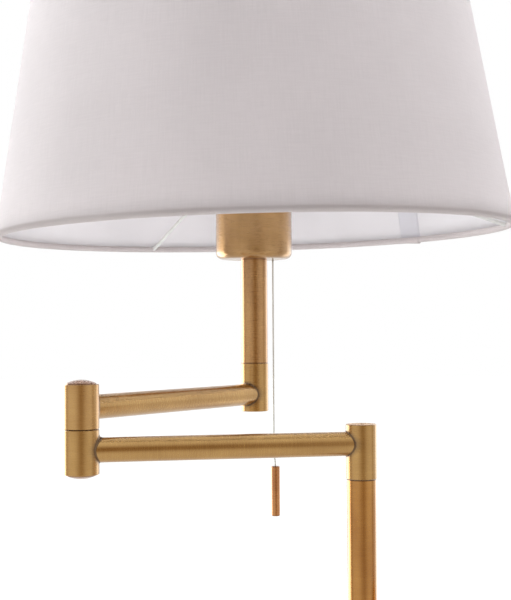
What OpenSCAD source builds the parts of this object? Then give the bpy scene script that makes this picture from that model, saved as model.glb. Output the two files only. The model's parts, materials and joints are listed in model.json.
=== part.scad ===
// Swing arm wall sconce: a wall bracket carries a post, two tube arms swing on the
// post and on an elbow, and the second arm carries a stem, a pull switch lampholder
// in a brass cup, and a round tapered shade.
//
// Origin: on the wall, behind the middle of the canopy. +Z is up, the room is
// towards -Y, and the arms are drawn in the pose that the rest angles give.

/* [Wall bracket] */
// Distance from the wall to the post's centre line
post_out = 135; // [115:1:180]
// Outside diameter of the canopy
canopy_d = 120; // [116:1:140]
// Depth of the canopy
canopy_h = 25; // [23:1:32]
// Thickness of the canopy's spun brass
canopy_t = 1.5; // [1:0.1:2.5]
// Radius of the canopy's rounded front edge
canopy_edge_r = 8; // [4:0.5:12]
// Outside diameter of the collar between canopy and tube
collar_d = 26; // [22:0.5:34]
// Thickness of the collar
collar_h = 6; // [5:0.5:10]
// Depth of the tube's seat in the collar
collar_seat = 3; // [2:0.5:4]

/* [Mounting strap] */
// Length of the strap
strap_l = 104; // [102:1:110]
// Width of the strap
strap_w = 22; // [20:0.5:26]
// Thickness of the strap
strap_t = 2.5; // [2:0.1:3.5]
// Distance between the middles of the two fixing slots
fixing_gap = 88.9; // [86:0.1:90]
// End to end length of a fixing slot
slot_l = 10; // [8:0.5:11]
// Width of a fixing slot
slot_w = 4.8; // [4.2:0.1:5.5]
// Diameter of the hole for the supply wires
wire_hole_d = 16; // [12:0.5:17]
// Distance between the two canopy studs
stud_gap = 60; // [58:1:66]
// Diameter of the canopy studs and of the ground screw
stud_d = 4; // [3:0.5:5]
// Distance of the ground screw from the strap's middle
ground_out = 16; // [15:0.5:18]

/* [Tubes] */
// Outside diameter of the wall tube and the two arms
arm_d = 16; // [14:0.5:17]
// Wall of the wall tube and the two arms
arm_t = 1; // [0.8:0.1:1.5]
// Length of each arm between its pivot axes
arm_l = 183; // [150:1:230]
// Outside diameter of the post
post_d = 19.5; // [19:0.1:20]
// Length of the post between its two knuckles
post_l = 125; // [90:1:170]
// Outside diameter of the stem
stem_d = 20; // [19:0.1:20.2]
// Length of the stem between its knuckle and the cup
stem_l = 78; // [50:1:110]
// Wall of the post and the stem
post_t = 1.5; // [1:0.1:1.8]

/* [Knuckles] */
// Outside diameter of a knuckle
knuckle_d = 20.4; // [20.2:0.1:22]
// Height of a knuckle
knuckle_h = 36; // [34:0.5:42]
// Distance from a knuckle's closed end to the arm's centre line
knuckle_arm = 12.8; // [11:0.1:13]
// Thickness of a knuckle's closed end
knuckle_end = 3; // [2:0.1:4]
// Diameter of the pins that the knuckles sit on
pin_d = 13; // [12:0.1:13.4]
// Length of those pins above their shoulder
pin_l = 15; // [13:0.5:16]
// Length of the plugs in the ends of the post and the stem
plug_l = 14; // [10:0.5:18]
// Diameter of the wire hole through pins and plugs
pin_hole_d = 8; // [6:0.1:8.4]
// Diameter of the wire hole from a knuckle or barrel into an arm
wireway_d = 11; // [9:0.5:11.5]
// Diameter of the grub screws
grub_d = 3; // [2.5:0.1:3.4]
// Height of a grub screw above the pin's shoulder
grub_z = 8; // [6:0.5:9]
// Depth of the groove that holds and stops the swinging knuckle
groove_depth = 1.2; // [0.8:0.1:1.6]

/* [Elbow] */
// Outside diameter of the elbow barrels
barrel_d = 23; // [22.6:0.1:26]
// Height of each barrel
barrel_h = 28.4; // [28:0.1:34]
// Distance from the seam between the barrels to each arm's centre line
seam_to_arm = 13.4; // [13.3:0.1:15]
// Thickness of the web that closes each barrel at the seam
web_t = 5; // [4.6:0.1:5.2]
// Wall of a barrel beside its chamber
barrel_t = 3; // [2.8:0.1:3.2]
// Outside diameter of the hollow pivot
pivot_d = 10; // [9.5:0.1:10.2]
// Wire hole through the pivot and the threaded tubes
pivot_hole_d = 7.2; // [6:0.1:7.6]
// Width across flats of the lock nuts
nut_af = 14; // [13.5:0.1:14.2]
// Height of the elbow lock nuts
nut_h = 3; // [2.5:0.1:3.2]
// Diameter of the domed caps
cap_d = 19.3; // [18:0.1:22]
// Height of the caps' straight rim
cap_rim = 0.6; // [0.4:0.1:1.2]
// Rise of the caps' dome above the rim
cap_rise = 2.2; // [1.5:0.1:4]
// Diameter of the friction washer
friction_d = 15; // [14:0.1:15.2]
// Thickness of the friction washer
friction_t = 1.2; // [0.8:0.1:1.5]
// Diameter of the stop pin
stop_d = 2; // [1.6:0.1:2.2]

/* [Cup and lampholder] */
// Outside diameter of the cup
cup_d = 57.3; // [56:0.1:64]
// Height of the cup
cup_h = 52; // [44:1:60]
// Thickness of the cup's spun brass
cup_t = 1.2; // [0.8:0.1:1.8]
// Radius of the cup's rounded bottom edge
cup_edge_r = 5; // [3:0.5:5.5]
// Diameter of the switch body in the cup
switch_d = 50; // [49:0.5:52]
// Height of the switch body
switch_h = 36; // [34:0.5:40]
// Diameter of the wiring chamber in the switch body
chamber_d = 28; // [24:0.5:29]
// Outside diameter of the lampholder's threaded skirt
skirt_d = 39.6; // [38:0.1:42]
// Height of the skirt above the switch body
skirt_h = 60; // [57:1:70]
// Inside diameter of the lamp's screw shell
shell_bore = 26.5; // [26.2:0.1:27.5]
// Height of the screw shell
shell_h = 26; // [22:0.5:27]
// Wall of the screw shell
shell_t = 0.6; // [0.4:0.1:0.8]
// Outside diameter of the two shade ring nuts
ring_nut_d = 54; // [50:0.5:60]
// Height of each shade ring nut
ring_nut_h = 6.5; // [5:0.5:8]

/* [Pull switch] */
// Distance from the stem's axis to the pull cord
pull_out = 20.4; // [19.8:0.1:20.8]
// Turn of the pull cord from the upper arm's own line, seen from above
pull_turn = -8; // [-60:1:60]
// Diameter of the pull cord
cord_d = 1.2; // [1:0.1:1.4]
// Diameter of the pull at the end of the cord
bob_d = 6.7; // [5:0.1:10]
// Length of the pull
bob_l = 38; // [25:1:50]
// Diameter of the switch plunger
plunger_d = 4; // [3.4:0.1:4.2]
// Travel of the switch
pull_travel = 8; // [5:0.5:9]

/* [Shade] */
// Diameter at the shade's bottom edge
shade_bottom_d = 384; // [340:2:420]
// Diameter at the shade's top edge
shade_top_d = 308; // [260:2:340]
// Height of the shade
shade_h = 230; // [200:2:260]
// Height of the shade's bottom edge above the cup's underside
shade_lift = 17.6; // [12:0.2:22]
// Height of the fitter ring above the shade's bottom ring
fitter_rise = 59; // [56:0.5:62]
// Thickness of the shade's cloth
cloth_t = 0.8; // [0.6:0.1:1]
// Thickness of the stiff liner behind the cloth
liner_t = 0.6; // [0.4:0.1:0.8]
// Outside radius of the rolled hems
hem_r = 2.3; // [2.1:0.1:3]
// Diameter of the spider's three arms
spider_d = 3; // [2.5:0.1:4]
// Direction of the first spider arm
spider_turn = 209; // [180:1:270]

/* [Wires] */
// Diameter of the sheathed lead inside the tubes
lead_d = 4.6; // [3.6:0.1:5]
// Bend radius of the lead's centre line
lead_bend = 6; // [5:0.5:6]

/* [Rest pose] */
// Turn of the lower arm from straight out of the wall
rest_angle = 11; // [-60:1:60]
// Angle between the two arms, seen from above
rest_fold = 42.5; // [30:0.5:160]
// Least angle between the two arms
fold_min = 20; // [15:1:25]
// Swing of the lower arm to each side
swing_max = 90; // [60:1:90]
// Lean of the shade towards the room, from play where its wires are bent
lean_angle = 1.2; // [0:0.1:1.5]

/* [Fits] */
// Radial clearance of a running fit
run_gap = 0.05; // [0.02:0.01:0.1]
// Radial clearance of a pressed, soldered or screwed seat
seat_gap = 0.05; // [0.02:0.01:0.08]
// Gap at the seams between pieces that turn on each other
seam_gap = 0.3; // [0.2:0.05:0.5]
// Clearance round pieces that move inside others
free_gap = 0.3; // [0.3:0.05:0.4]

/* [Hidden] */
$fn = 96;

// Colours
brass = [0.69, 0.53, 0.32];
old_brass = [0.52, 0.36, 0.20];
steel = [0.68, 0.69, 0.70];
white_steel = [0.90, 0.90, 0.88];
nylon = [0.90, 0.88, 0.80];
moulded = [0.16, 0.15, 0.15];
cloth = [0.88, 0.87, 0.86];
green = [0.20, 0.50, 0.28];

// A cut starts this far outside the face it opens
over = 0.5;
// Chamfers on turned edges, on the ring nuts and the collar, and on the pull
chamfer = 0.4;
wide_chamfer = 1;
bob_chamfer = 0.6;

// Canopy, measured out from the wall
plug_bore = pivot_d + 2 * seat_gap;
tube_seat = canopy_h + collar_h - collar_seat;
canopy_nut_h = 4;
nipple_past_nut = 3;
nipple_short = 2;
nipple_in = canopy_h - canopy_t - canopy_nut_h - nipple_past_nut;
stud_bore = stud_d + 2 * seat_gap;
cap_nut_d = 9;
cap_nut_h = 9;
cap_nut_thread = 6;
ground_head_d = 8;
ground_head_h = 2.4;
driver_slot = 1;
block_gap = 2;
block_to_stud = 1;
block_x = wire_hole_d / 2 + block_gap;
block_l = stud_gap / 2 - stud_d / 2 - block_to_stud - block_x;
block_w = 18;
block_h = 12;
block_screw_d = 4;
lead_y = -(strap_t + block_h / 2);

// Tubes and knuckles
knuckle_bore = pin_d + 2 * run_gap;
post_bore = post_d - 2 * post_t;
stem_bore = stem_d - 2 * post_t;
arm_bore = arm_d - 2 * arm_t;
washer_t = 1;
washer_d = post_bore;
washer_clear = 0.1;
washer_recess = washer_t - seam_gap + washer_clear;
grub_tip_d = 0.8 * grub_d;
groove_w = grub_tip_d + 2 * free_gap;
groove_end_gap = 0.1;
grub_tip_gap = 0.2;
grub_inset = 0.2;
grub_key_depth = 1.2;
grub_side = -100;

// Heights, up from the wall tube's centre line
bracket_top = knuckle_h - knuckle_arm;
post_top = bracket_top + post_l;
swing_z = post_top + seam_gap;
lower_z = swing_z + knuckle_h - knuckle_arm;
seam_z = lower_z + seam_to_arm;
upper_z = seam_z + seam_to_arm;
stem_z = upper_z + knuckle_h - knuckle_arm;
cup_z = stem_z + stem_l;
floor_z = cup_z + cup_t;
skirt_z = floor_z + switch_h;
shade_z = cup_z + shade_lift;
ring_z = shade_z + hem_r;
fitter_z = ring_z + fitter_rise;

// Plan positions at rest
lower_dir = rest_angle - 90;
upper_dir = lower_dir + 180 + rest_fold;
post_at = [0, -post_out, 0];
elbow_at = post_at + arm_l * [cos(lower_dir), sin(lower_dir), 0];
stem_at = elbow_at + arm_l * [cos(upper_dir), sin(upper_dir), 0];
pull_dir = upper_dir + pull_turn;
pull_at = stem_at + pull_out * [cos(pull_dir), sin(pull_dir), 0];

// Elbow
chamber_r = barrel_d / 2 - barrel_t;
web_bore = pivot_d + 2 * run_gap;
stop_r = (friction_d / 2 + barrel_d / 2 + free_gap) / 2;
stop_slot_w = stop_d + 2 * free_gap;
stop_depth = 2.2;
stop_reach = 1.6;
stop_seat = 4;
stop_margin = asin((stop_d / 2 + free_gap / 2) / stop_r);
spring_washer_t = 0.5;
spring_washer_rise = 0.4;
thread_past_nut = 0.4;
upper_nut_z = seam_gap / 2 + web_t + spring_washer_t + spring_washer_rise + 2 * washer_clear;
pivot_low = seam_gap / 2 + web_t + nut_h + thread_past_nut;
pivot_high = upper_nut_z + nut_h + thread_past_nut;
cap_plug_h = 4;

// Lampholder
nipple_reach = 10;
nipple_down = 12;
bush_d = 4.4;
bush_flange_d = 7;
bush_flange_h = 1;
link_d = 1.6;
bush_hole_d = link_d + 2 * free_gap;
plunger_bore = plunger_d + 2 * free_gap;
plunger_spare = 3;
plunger_z = floor_z + bush_flange_h + pull_travel + plunger_spare;
plunger_l = 12;
plunger_top = plunger_z + plunger_l;
switch_roof = 3;
spring_l = floor_z + switch_h - switch_roof - plunger_top;
spring_wire = 0.5;
spring_turns = 5;
spring_sides = 10;
skirt_t = 3.3;
ledge_w = 1.5;
skirt_top = skirt_z + skirt_h;
skirt_bore = skirt_d - 2 * skirt_t;
ledge_bore = skirt_bore - 2 * ledge_w;
shell_inset = 1;
shell_z = skirt_top - shell_inset - shell_h;
insulator_h = 8;
insulator_d = skirt_bore - 2 * seat_gap;
contact_d = 8;
contact_h = 2;
contact_z = shell_z - free_gap - contact_h;
ring_nut_bore = skirt_d + 2 * seat_gap;
fitter_t = 2;
fitter_bore = skirt_d + 2 * free_gap;
fitter_d = ring_nut_d + 2 * free_gap;

// Shade outline: two hem circles and the straight cone between them
hem_low = [shade_bottom_d / 2 - hem_r, ring_z];
hem_high = [shade_top_d / 2 - hem_r, shade_z + shade_h - hem_r];
slope_l = norm(hem_high - hem_low);
along = (hem_high - hem_low) / slope_l;
outward = [along[1], -along[0]];
slant = atan2(outward[1], outward[0]);
ring_d = 2 * (hem_r - cloth_t) - 2 * seat_gap;
glue_gap = 0.1;
liner_out = hem_r - cloth_t - glue_gap;
hem_wrap = 225;
hem_flange = hem_r - cloth_t + (liner_out - liner_t - glue_gap) / cos(45);
spider_run = hem_low[0] - fitter_d / 2;
spider_rise = fitter_z - ring_z;
spider_angle = atan2(spider_rise, spider_run);

// The pull cord's route below the cup, from the point where it leaves it
cord_route = [
    [0, 0, 0], [0, 0, -8], [0, 0, -20], [0, 0, -32], [0, 0, -44], [0, 0, -56],
    [0, 0, -68], [0, 0, -80], [0, 0, -92], [0, 0, -104], [0, 0, -116], [0, 0, -128],
    [0, 0, -138], [0, 0, -145], [0, 0.3, -150], [0, 0.8, -154], [0, 1, -158], [0, 1, -162]
];
cord_steps = 3;
bob_hole = 5;
bob_hole_gap = 0.2;
bob_at = cord_route[len(cord_route) - 1] + [0, 0, bob_hole];

// ---- Shapes used by more than one piece ----

// Points of an arc, from angle a0 to angle a1
function arc(centre, r, a0, a1, n) =
    [for (i = [0:n]) centre + r * [cos(a0 + (a1 - a0) * i / n), sin(a0 + (a1 - a0) * i / n)]];

function unit(v) = v / norm(v);

// Points of a quarter bend round a corner, in by direction u and out by direction v
function bend(corner, u, v, r, n = 6) =
    [for (i = [0:n]) corner + r * (v - u) - r * cos(90 * i / n) * v + r * sin(90 * i / n) * u];

// A smooth curve through every point of a route
function smooth(p, steps) = concat(
    [for (i = [0:len(p) - 2], j = [0:steps - 1])
        let (a = p[max(i - 1, 0)], b = p[i], c = p[i + 1], d = p[min(i + 2, len(p) - 1)], t = j / steps)
        b + t * (c - a) / 2 + t * t * (a - 2.5 * b + 2 * c - d / 2)
        + t * t * t * (-a / 2 + 1.5 * b - 1.5 * c + d / 2)],
    [p[len(p) - 1]]);

function tangent(p, i) = unit(p[min(i + 1, len(p) - 1)] - p[max(i - 1, 0)]);

function square_to(v, t) = unit(v - (v * t) * t);

// A round tube swept along a route, with its section carried along without twist
module swept_tube(route, d, first_side, sides = 8) {
    frames = [for (i = 0, n = square_to(first_side, tangent(route, 0));
        i < len(route);
        i = i + 1, n = i < len(route) ? square_to(n, tangent(route, i)) : n) n];
    points = [for (i = [0:len(route) - 1], j = [0:sides - 1])
        route[i] + d / 2 * (cos(360 * j / sides) * frames[i]
            + sin(360 * j / sides) * cross(tangent(route, i), frames[i]))];
    last = (len(route) - 1) * sides;
    faces = concat(
        [[for (j = [0:sides - 1]) j]],
        [for (i = [0:len(route) - 2], j = [0:sides - 1])
            [i * sides + j, (i + 1) * sides + j, (i + 1) * sides + (j + 1) % sides]],
        [for (i = [0:len(route) - 2], j = [0:sides - 1])
            [i * sides + j, (i + 1) * sides + (j + 1) % sides, i * sides + (j + 1) % sides]],
        [[for (j = [sides - 1:-1:0]) last + j]]);
    polyhedron(points, faces);
}

// A turned cylinder with both edges chamfered
module turned(d, h, c = chamfer) {
    rotate_extrude()
        polygon([[0, 0], [d / 2 - c, 0], [d / 2, c], [d / 2, h - c], [d / 2 - c, h], [0, h]]);
}

// A plain ring
module ring(outer, inner, h) {
    difference() {
        cylinder(d = outer, h = h);
        translate([0, 0, -over]) cylinder(d = inner, h = h + 2 * over);
    }
}

// A hexagonal nut
module hex_nut(af, bore, h) {
    difference() {
        cylinder(d = af / cos(30), h = h, $fn = 6);
        translate([0, 0, -over]) cylinder(d = bore, h = h + 2 * over);
    }
}

// Out of the wall: local +Z becomes the room's direction
module from_wall() {
    rotate([90, 0, 0]) children();
}

// A knuckle with its open end at z = 0, its closed end up and its arm along +X
module knuckle(recess_d, recess) {
    difference() {
        turned(knuckle_d, knuckle_h);
        translate([0, 0, -over])
            cylinder(d = knuckle_bore, h = knuckle_h - knuckle_end + over);
        translate([0, 0, knuckle_h - knuckle_arm])
            rotate([0, 90, 0]) cylinder(d = wireway_d, h = knuckle_d);
        rotate(grub_side) translate([0, 0, grub_z])
            rotate([0, 90, 0]) cylinder(d = grub_d, h = knuckle_d);
        if (recess > 0) translate([0, 0, -over]) cylinder(d = recess_d, h = recess + over);
    }
}

// A grub screw on local +X, its point at distance reach from the axis
module grub_screw(reach) {
    shank = grub_d - 2 * seat_gap;
    shank_from = knuckle_bore / 2 + run_gap;
    translate([reach, 0, 0]) rotate([0, 90, 0])
        cylinder(d = grub_tip_d, h = shank_from - reach + over);
    translate([shank_from, 0, 0]) rotate([0, 90, 0]) difference() {
        cylinder(d = shank, h = knuckle_d / 2 - shank_from - grub_inset);
        translate([0, 0, knuckle_d / 2 - shank_from - grub_inset - grub_key_depth])
            cylinder(d = grub_d / 2, h = grub_key_depth + over, $fn = 6);
    }
}

// A plug in a tube's end, below z = 0, with the pin that a knuckle sits on above it
module spigot(tube_bore) {
    difference() {
        union() {
            translate([0, 0, -plug_l]) cylinder(d = tube_bore - 2 * seat_gap, h = plug_l);
            cylinder(d = pin_d, h = pin_l);
        }
        translate([0, 0, -plug_l - over]) cylinder(d = pin_hole_d, h = plug_l + pin_l + 2 * over);
    }
}

// An arm tube along +X between two pivot axes, its ends coped to the turned pieces
module arm_tube(from_d, to_d, z) {
    translate([0, 0, z]) difference() {
        rotate([0, 90, 0]) difference() {
            cylinder(d = arm_d, h = arm_l);
            translate([0, 0, -over]) cylinder(d = arm_bore, h = arm_l + 2 * over);
        }
        translate([0, 0, -arm_d]) cylinder(d = from_d, h = 2 * arm_d);
        translate([arm_l, 0, -arm_d]) cylinder(d = to_d, h = 2 * arm_d);
    }
}

// An elbow barrel hanging from its seam face at z = 0, its arm along +X
module barrel() {
    arm_z = seam_gap / 2 - seam_to_arm;
    difference() {
        translate([0, 0, -barrel_h]) turned(barrel_d, barrel_h);
        translate([0, 0, -barrel_h - over]) cylinder(r = chamber_r, h = barrel_h - web_t + over);
        translate([0, 0, -web_t - over]) cylinder(d = web_bore, h = web_t + 2 * over);
        translate([0, 0, arm_z]) rotate([0, 90, 0]) cylinder(d = wireway_d, h = barrel_d);
    }
}

// A domed cap with its rim at z = 0, the dome down and its screwed plug up
module domed_cap() {
    dome_r = (cap_rise * cap_rise + cap_d * cap_d / 4) / (2 * cap_rise);
    intersection() {
        translate([0, 0, -cap_rim - cap_rise]) cylinder(d = cap_d, h = cap_rim + cap_rise);
        translate([0, 0, dome_r - cap_rim - cap_rise]) sphere(r = dome_r);
    }
    cylinder(r = chamber_r - seat_gap, h = cap_plug_h);
}

// A spun dish, open at z = 0, with wall t and a rounded far edge
module spun_dish(d, h, t, edge_r) {
    rotate_extrude() polygon(concat(
        [[0, h - t], [0, h]],
        arc([d / 2 - edge_r, h - edge_r], edge_r, 90, 0, 8),
        [[d / 2, 0], [d / 2 - t, 0]],
        arc([d / 2 - edge_r, h - edge_r], edge_r - t, 0, 90, 8)));
}

// ---- Wall bracket ----

module mounting_strap() {
    color(steel) from_wall() difference() {
        translate([-strap_l / 2, -strap_w / 2, 0]) cube([strap_l, strap_w, strap_t]);
        translate([0, 0, -over]) cylinder(d = wire_hole_d, h = strap_t + 2 * over);
        for (side = [-1, 1]) {
            translate([side * stud_gap / 2, 0, -over]) cylinder(d = stud_bore, h = strap_t + 2 * over);
            translate([side * fixing_gap / 2, 0, -over]) union() {
                run = (slot_l - slot_w) / 2;
                translate([-run, -slot_w / 2, 0]) cube([2 * run, slot_w, strap_t + 2 * over]);
                for (end = [-run, run])
                    translate([end, 0, 0]) cylinder(d = slot_w, h = strap_t + 2 * over);
            }
        }
        translate([-ground_out, 0, -over]) cylinder(d = stud_bore, h = strap_t + 2 * over);
    }
}

module ground_screw() {
    color(green) from_wall() translate([-ground_out, 0, 0]) difference() {
        union() {
            cylinder(d = stud_d, h = strap_t + ground_head_h);
            translate([0, 0, strap_t]) turned(ground_head_d, ground_head_h);
        }
        translate([-ground_head_d, -driver_slot / 2, strap_t + ground_head_h - driver_slot])
            cube([2 * ground_head_d, driver_slot, 2 * driver_slot]);
    }
}

module terminal_block() {
    color(nylon) from_wall() difference() {
        translate([block_x, -block_w / 2, strap_t]) cube([block_l, block_w, block_h]);
        for (side = [-1, 1])
            translate([block_x + block_l / 2, side * block_w / 4, strap_t + block_h / 2])
                cylinder(d = block_screw_d, h = block_h);
    }
}

module canopy() {
    color(brass) from_wall() difference() {
        spun_dish(canopy_d, canopy_h, canopy_t, canopy_edge_r);
        translate([0, 0, canopy_h / 2]) cylinder(d = plug_bore, h = canopy_h);
        for (side = [-1, 1])
            translate([side * stud_gap / 2, 0, canopy_h / 2]) cylinder(d = stud_bore, h = canopy_h);
    }
}

module canopy_studs() {
    stud_l = canopy_h + cap_nut_thread - free_gap;
    color(steel) from_wall() for (side = [-1, 1])
        translate([side * stud_gap / 2, 0, 0]) cylinder(d = stud_d, h = stud_l);
}

module cap_nuts() {
    color(brass) from_wall() for (side = [-1, 1])
        translate([side * stud_gap / 2, 0, canopy_h]) difference() {
            union() {
                turned(cap_nut_d, cap_nut_h / 2);
                translate([0, 0, cap_nut_h / 2]) intersection() {
                    sphere(d = cap_nut_d - 2 * chamfer);
                    cylinder(d = cap_nut_d, h = cap_nut_h);
                }
            }
            translate([0, 0, -over]) cylinder(d = stud_bore, h = cap_nut_thread + over);
        }
}

module canopy_collar() {
    color(brass) from_wall() translate([0, 0, canopy_h]) difference() {
        turned(collar_d, collar_h, wide_chamfer);
        translate([0, 0, -over]) cylinder(d = plug_bore, h = collar_h + 2 * over);
        translate([0, 0, collar_h - collar_seat]) cylinder(d = arm_d + 2 * seat_gap, h = collar_seat + over);
    }
}

module canopy_nipple() {
    color(steel) from_wall() translate([0, 0, nipple_in])
        ring(pivot_d, pivot_hole_d, tube_seat + plug_l - nipple_short - nipple_in);
}

module canopy_nut() {
    color(steel) from_wall() translate([0, 0, canopy_h - canopy_t - canopy_nut_h])
        hex_nut(nut_af, plug_bore, canopy_nut_h);
}

module wall_tube_plug() {
    color(brass) from_wall() translate([0, 0, tube_seat])
        ring(arm_bore - 2 * seat_gap, plug_bore, plug_l);
}

module wall_tube() {
    color(brass) difference() {
        from_wall() translate([0, 0, tube_seat]) ring(arm_d, arm_bore, post_out - tube_seat);
        translate([0, -post_out, -arm_d]) cylinder(d = knuckle_d, h = 2 * arm_d);
    }
}

module bracket_knuckle() {
    color(brass) translate(post_at) mirror([0, 0, 1]) translate([0, 0, -bracket_top])
        rotate(90) knuckle(0, 0);
}

module bracket_grub_screw() {
    color(steel) translate(post_at + [0, 0, bracket_top - grub_z])
        rotate(90 + grub_side) grub_screw(pin_d / 2 + seat_gap);
}

module post_foot_plug() {
    color(brass) translate(post_at + [0, 0, bracket_top]) mirror([0, 0, 1]) spigot(post_bore);
}

module post() {
    color(brass) translate(post_at + [0, 0, bracket_top]) ring(post_d, post_bore, post_l);
}

module post_pivot() {
    groove_r = pin_d / 2 - groove_depth;
    margin = asin((grub_tip_d / 2 + groove_end_gap) / groove_r);
    color(brass) translate(post_at + [0, 0, post_top]) difference() {
        spigot(post_bore);
        rotate(grub_side - 90 - swing_max - margin) translate([0, 0, grub_z + seam_gap - groove_w / 2])
            rotate_extrude(angle = 2 * (swing_max + margin))
                translate([groove_r, 0]) square([groove_depth + over, groove_w]);
    }
}

module thrust_washer() {
    color(nylon) translate(post_at + [0, 0, post_top]) ring(washer_d, pin_d + 2 * free_gap, washer_t);
}

module lead_in_bracket() {
    color(nylon) swept_tube(concat(
        [[block_x, lead_y, 0]],
        bend([0, lead_y, 0], [-1, 0, 0], [0, -1, 0], lead_bend),
        bend([0, -post_out, 0], [0, -1, 0], [0, 0, 1], lead_bend),
        [[0, -post_out, swing_z + knuckle_h - knuckle_arm - lead_bend - seam_gap]]
    ), lead_d, [0, 0, 1]);
}

// ---- Lower arm ----

module swing_knuckle() {
    color(brass) translate(post_at + [0, 0, swing_z]) rotate(lower_dir)
        knuckle(washer_d + 2 * free_gap, washer_recess);
}

module swing_grub_screw() {
    color(steel) translate(post_at + [0, 0, swing_z + grub_z])
        rotate(lower_dir + grub_side) grub_screw(pin_d / 2 - groove_depth + grub_tip_gap);
}

module lower_arm() {
    color(brass) translate(post_at) rotate(lower_dir) arm_tube(knuckle_d, barrel_d, lower_z);
}

module elbow_lower_barrel() {
    color(brass) translate(elbow_at + [0, 0, seam_z - seam_gap / 2]) rotate(lower_dir + 180)
        difference() {
            barrel();
            translate([-stop_r, 0, -stop_seat]) cylinder(d = stop_d + 2 * seat_gap, h = stop_seat + over);
        }
}

module elbow_lower_cap() {
    color(brass) translate(elbow_at + [0, 0, seam_z - seam_gap / 2 - barrel_h]) domed_cap();
}

module elbow_pivot() {
    color(steel) translate(elbow_at + [0, 0, seam_z - pivot_low])
        ring(pivot_d, pivot_hole_d, pivot_low + pivot_high);
}

module elbow_lower_nut() {
    color(steel) translate(elbow_at + [0, 0, seam_z - seam_gap / 2 - web_t - nut_h])
        hex_nut(nut_af, pivot_d + 2 * seat_gap, nut_h);
}

module elbow_upper_nut() {
    color(steel) translate(elbow_at + [0, 0, seam_z + upper_nut_z])
        hex_nut(nut_af, pivot_d + 2 * seat_gap, nut_h);
}

module friction_washer() {
    color(nylon) translate(elbow_at + [0, 0, seam_z - seam_gap / 2])
        ring(friction_d, pivot_d + 2 * run_gap, friction_t);
}

module spring_washer() {
    inner = pivot_d / 2 + run_gap;
    outer = friction_d / 2;
    color(steel) translate(elbow_at + [0, 0, seam_z + seam_gap / 2 + web_t + washer_clear])
        rotate_extrude() polygon([
            [inner, spring_washer_rise], [outer, 0],
            [outer, spring_washer_t], [inner, spring_washer_rise + spring_washer_t]]);
}

module stop_pin() {
    color(steel) translate(elbow_at + [0, 0, seam_z - seam_gap / 2 - stop_seat])
        rotate(lower_dir + 180) translate([-stop_r, 0, 0])
            cylinder(d = stop_d, h = stop_seat + seam_gap + stop_reach);
}

module lead_in_lower_arm() {
    out = [cos(lower_dir), sin(lower_dir), 0];
    corner_a = post_at + [0, 0, lower_z];
    corner_b = elbow_at + [0, 0, lower_z];
    color(nylon) swept_tube(concat(
        bend(corner_a, [0, 0, 1], out, lead_bend),
        bend(corner_b, out, [0, 0, 1], lead_bend),
        [elbow_at + [0, 0, seam_z - seam_gap / 2]]
    ), lead_d, [-out[1], out[0], 0]);
}

// ---- Upper arm, stem and cup ----

module elbow_upper_barrel() {
    land = 180 - fold_min + stop_margin;
    color(brass) translate(elbow_at + [0, 0, seam_z + seam_gap / 2]) rotate(upper_dir)
        difference() {
            mirror([0, 0, 1]) barrel();
            translate([0, 0, -over])
                cylinder(d = friction_d + 2 * free_gap, h = friction_t - seam_gap + washer_clear + over);
            rotate(-land) translate([0, 0, -over]) rotate_extrude(angle = 2 * land)
                translate([stop_r - stop_slot_w / 2, 0]) square([stop_slot_w, stop_depth + over]);
        }
}

module elbow_upper_cap() {
    color(brass) translate(elbow_at + [0, 0, seam_z + seam_gap / 2 + barrel_h])
        mirror([0, 0, 1]) domed_cap();
}

module upper_arm() {
    color(brass) translate(elbow_at) rotate(upper_dir) arm_tube(barrel_d, knuckle_d, upper_z);
}

module stem_knuckle() {
    color(brass) translate(stem_at + [0, 0, stem_z]) mirror([0, 0, 1])
        rotate(upper_dir + 180) knuckle(0, 0);
}

module stem_grub_screw() {
    color(steel) translate(stem_at + [0, 0, stem_z - grub_z])
        rotate(upper_dir + 180 + grub_side) grub_screw(pin_d / 2 + seat_gap);
}

module stem_foot_plug() {
    color(brass) translate(stem_at + [0, 0, stem_z]) mirror([0, 0, 1]) spigot(stem_bore);
}

module stem() {
    color(brass) translate(stem_at + [0, 0, stem_z]) ring(stem_d, stem_bore, stem_l);
}

module stem_top_plug() {
    color(brass) translate(stem_at + [0, 0, cup_z - plug_l])
        ring(stem_bore - 2 * seat_gap, plug_bore, plug_l);
}

module cup_nipple() {
    color(steel) translate(stem_at + [0, 0, cup_z - nipple_down])
        ring(pivot_d, pivot_hole_d, nipple_down + cup_t + nipple_reach);
}

module socket_cup() {
    color(brass) difference() {
        translate(stem_at + [0, 0, cup_z + cup_h]) mirror([0, 0, 1])
            spun_dish(cup_d, cup_h, cup_t, cup_edge_r);
        translate(stem_at + [0, 0, cup_z - over]) cylinder(d = plug_bore, h = cup_t + 2 * over);
        translate(pull_at + [0, 0, cup_z - over]) cylinder(d = bush_d + 2 * seat_gap, h = cup_t + 2 * over);
    }
}

module pull_bush() {
    color(nylon) translate(pull_at + [0, 0, cup_z]) difference() {
        union() {
            cylinder(d = bush_d, h = cup_t + bush_flange_h);
            translate([0, 0, cup_t]) cylinder(d = bush_flange_d, h = bush_flange_h);
        }
        translate([0, 0, -over]) cylinder(d = bush_hole_d, h = cup_t + bush_flange_h + 2 * over);
    }
}

module switch_body() {
    color(moulded) difference() {
        translate(stem_at + [0, 0, floor_z]) turned(switch_d, switch_h, wide_chamfer);
        translate(stem_at + [0, 0, floor_z - over]) cylinder(d = plug_bore, h = switch_h);
        translate(stem_at + [0, 0, floor_z + nipple_reach]) cylinder(d = chamber_d, h = switch_h);
        translate(pull_at + [0, 0, floor_z - over])
            cylinder(d = bush_flange_d + 2 * seat_gap, h = bush_flange_h + over + seat_gap);
        translate(pull_at + [0, 0, floor_z - over])
            cylinder(d = plunger_bore, h = switch_h - switch_roof + over);
    }
}

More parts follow.
